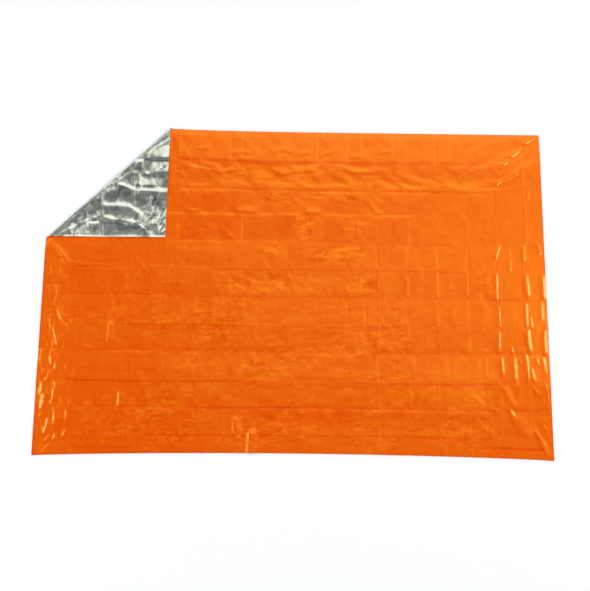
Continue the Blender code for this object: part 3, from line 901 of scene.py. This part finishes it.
def paintedFacetPatches(tree, share, along, across, reach):
    # small sharp-edged painted reflections and shade: of the near rectangular cells about one in eight is
    # paler and one in eight a little darker
    place = cellPlace(tree, along, across, (0.01 * across, 0.02 * along, 0.0))
    cells = cellNode(tree, place, distance="CHEBYCHEV")
    draws = partsNode(tree, cells.outputs["Color"])
    paler = rangeNode(tree, draws["X"], 0.84, 0.98, 0.0, reach)
    darker = rangeNode(tree, draws["Y"], 0.84, 0.98, 0.0, -0.3 * reach)
    return mathNode(tree, "MULTIPLY", mathNode(tree, "ADD", paler, darker), share)


def filmMaterial(name):
    # tone = paintedShadeAndSheen + web + patches + paintedLeanGain * lean away from the near edge, from -1 to
    # 1 on the colours: all of it painted shade and painted highlights
    finish = finishes[name]
    material, tree, shader = newMaterial(name)
    for label, value in finish["shader"].items():
        shader[label].default_value = value
    share = markNode(tree, "crumpled")
    lean = facetLean(tree, finish["facets"], share)
    upright = addNode(tree, "ShaderNodeNewGeometry", {}).outputs["Normal"]
    facets = vectorNode(tree, "NORMALIZE", vectorNode(tree, "ADD", upright, lean))
    tone = mathNode(tree, "ADD", markNode(tree, "paintedShadeAndSheen"), paintedCreaseWeb(tree, share, *finish["web"]))
    for patch in finish["patches"]:
        tone = mathNode(tree, "ADD", tone, paintedFacetPatches(tree, share, *patch))
    # painted shading: a facet leaning away from the near edge is coloured paler, one leaning towards it
    # darker
    tone = mathNode(tree, "MULTIPLY_ADD", partsNode(tree, lean)["Y"], finish["paintedLeanGain"], tone)
    tree.links.new(rampNode(tree, rangeNode(tree, tone, -1.0, 1.0), finish["colours"]), shader["Base Color"])
    normal = crinkleBump(tree, finish, facets)
    tree.links.new(normal, shader["Normal"])
    if "Coat Weight" in finish["shader"]:
        tree.links.new(normal, shader["Coat Normal"])
    return material


def makeBlanket():
    creaseS, creaseT = flatGrid()
    s, t = wandered(creaseS, creaseT)
    back, spread = folded(s, t, creaseS, creaseT)
    back[..., 2] = np.maximum(back[..., 2], 0.0)
    x = 1000.0 * back[..., 0]
    q = 1000.0 * (sheetWide - back[..., 1])
    # painted shade and highlights: the sheet's creases and flats, and the silver corner's lines and panels
    tone = np.where(spread > 0.0, paintedShadeAndSheen(x, q, creaseS, creaseT) * spread, paintedCornerShading(x, q))
    crumpled = np.where(spread > 0.0, crumpledShare(x, q), cornerShare(x, q))
    back[..., 0] -= sheetLong / 2.0
    back[..., 1] -= sheetWide / 2.0
    face = back + gridNormals(back) * sheetCut["film"]
    fromRim = np.minimum(np.minimum(s, sheetLong - s), np.minimum(t, sheetWide - t))
    clear = sheetCut["skinsApart"] * smooth((fromRim + 0.006) / 0.012)
    back[..., 2] *= 1.0 - clear * spread
    keepCols = everySecond(creaseS.shape[1], creaseS[0] < meshLines["fineAlong"])
    keepRows = everySecond(creaseS.shape[0], creaseT[:, 0] > meshLines["fineAcross"])
    uv = np.stack([s, t], axis=-1)
    marks = {"paintedShadeAndSheen": tone, "crumpled": crumpled}
    film = closedFilm("foilSheet", back, face, uv, marks, keepRows, keepCols)
    film.data.materials.append(filmMaterial("orangeFilm"))
    film.data.materials.append(filmMaterial("silverFilm"))
    print("film: triangles", len(film.data.polygons), "grid", creaseS.shape)
    return film


film = makeBlanket()
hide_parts("blanket")
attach(film, "root")


studio = {
    "floorColour": (0.96, 0.96, 0.96, 1.0),
    "floorHalf": 40.0,
    "floorLevel": -0.0006,
    # level of the sky by the x and the y part of its direction: the first two multiply, the third is added;
    # a band between the horizon and halfway up is dimmer
    "skyByX": [(-0.6, 2.2), (-0.42, 1.2), (-0.31, 0.36), (-0.19, 0.25), (-0.1, 0.5), (-0.02, 0.88),
               (0.06, 1.0), (0.13, 1.03), (0.2, 1.14), (0.3, 1.22), (0.42, 1.5), (0.6, 2.2)],
    "skyByY": [(-0.6, 2.2), (-0.35, 1.25), (-0.15, 0.45), (0.04, 0.31), (0.085, 0.39), (0.122, 0.73),
               (0.17, 0.95), (0.235, 1.02), (0.37, 1.12), (0.6, 2.0)],
    "skyFarGlow": [(-0.60, 0.0), (0.35, 0.0), (0.47, 0.80), (0.60, 1.0)],
    "skyByHeight": [(-0.10, 1.0), (0.05, 1.0), (0.13, 0.26), (0.32, 0.30), (0.55, 1.0)],
    "skyLevel": 0.62,
    "skyMost": 1.66,
    "skyTint": (1.0, 1.01, 0.96),
    "lampColour": (0.92, 1.0, 2.1),
    "lamps": [
        {"name": "rightLamp", "place": (2.9, 0.60, 2.9), "wide": 0.75, "long": 1.3, "power": 20.0},
        {"name": "leftLamp", "place": (-2.9, -0.20, 2.9), "wide": 0.85, "long": 1.3, "power": 16.5},
    ],
}


def makeFloor():
    half, level = studio["floorHalf"], studio["floorLevel"]
    mesh = bpy.data.meshes.new("floor")
    corners = [(-half, -half, level), (half, -half, level), (half, half, level), (-half, half, level)]
    mesh.from_pydata(corners, [], [(0, 1, 2, 3)])
    floor = addObject("floor", mesh)
    material, _, shader = newMaterial("paleFloor")
    shader["Base Color"].default_value = studio["floorColour"]
    shader["Roughness"].default_value = 0.9
    shader["Specular IOR Level"].default_value = 0.0
    mesh.materials.append(material)


def skyRamp(tree, part, levels):
    # a part of the direction turned into a level, even outside the first and the last place
    low, high = levels[0][0], levels[-1][0]
    places = [((place - low) / (high - low), (level,) * 3) for place, level in levels]
    return rampNode(tree, rangeNode(tree, part, low, high), places)


def makeSky():
    # skyLevel * byX * byY + farGlow, no more than skyMost, times byHeight and the tint
    world = bpy.data.worlds.new("studioSky")
    bpy.context.scene.world = world
    world.use_nodes = True
    tree = world.node_tree
    parts = partsNode(tree, addNode(tree, "ShaderNodeTexCoord", {}).outputs["Generated"])
    level = skyRamp(tree, parts["X"], studio["skyByX"])
    for operation, other in (
            ("MULTIPLY", skyRamp(tree, parts["Y"], studio["skyByY"])),
            ("MULTIPLY", (studio["skyLevel"],) * 3),
            ("ADD", skyRamp(tree, parts["Y"], studio["skyFarGlow"])),
            ("MINIMUM", (studio["skyMost"],) * 3),
            ("MULTIPLY", skyRamp(tree, parts["Z"], studio["skyByHeight"])),
            ("MULTIPLY", studio["skyTint"])):
        level = vectorNode(tree, operation, level, other)
    tree.links.new(level, tree.nodes["Background"].inputs["Color"])
    tree.nodes["Background"].inputs["Strength"].default_value = 1.0


def makeLamp(lamp):
    light = bpy.data.lights.new(lamp["name"], "AREA")
    light.shape = "RECTANGLE"
    light.size = lamp["wide"]
    light.size_y = lamp["long"]
    light.energy = lamp["power"]
    light.color = studio["lampColour"]
    ob = addObject(lamp["name"], light)
    ob.location = lamp["place"]
    ob.rotation_euler = Vector(lamp["place"]).to_track_quat("Z", "Y").to_euler()


viewpoint = {"focalPixels": 976.0, "frameLong": 591.0, "fromVertical": 12.75, "azimuth": -6.81, "roll": 7.52,
             "distance": 4.123, "target": (-0.0047, -0.0311, 0.0)}


def makeCamera():
    # turned about the target, and then moved straight back from it
    camera = bpy.data.cameras.new("camera")
    camera.sensor_width = 36.0
    camera.lens = viewpoint["focalPixels"] / viewpoint["frameLong"] * camera.sensor_width
    placed = Matrix.Translation(viewpoint["target"])
    for angle, axis in (("azimuth", "Z"), ("fromVertical", "X"), ("roll", "Z")):
        placed = placed @ Matrix.Rotation(math.radians(viewpoint[angle]), 4, axis)
    ob = addObject("camera", camera)
    ob.matrix_world = placed @ Matrix.Translation((0.0, 0.0, viewpoint["distance"]))
    bpy.context.scene.camera = ob


makeFloor()
makeSky()
for lamp in studio["lamps"]:
    makeLamp(lamp)
makeCamera()
bpy.context.scene.view_settings.view_transform = "Standard"
print("studio: done")
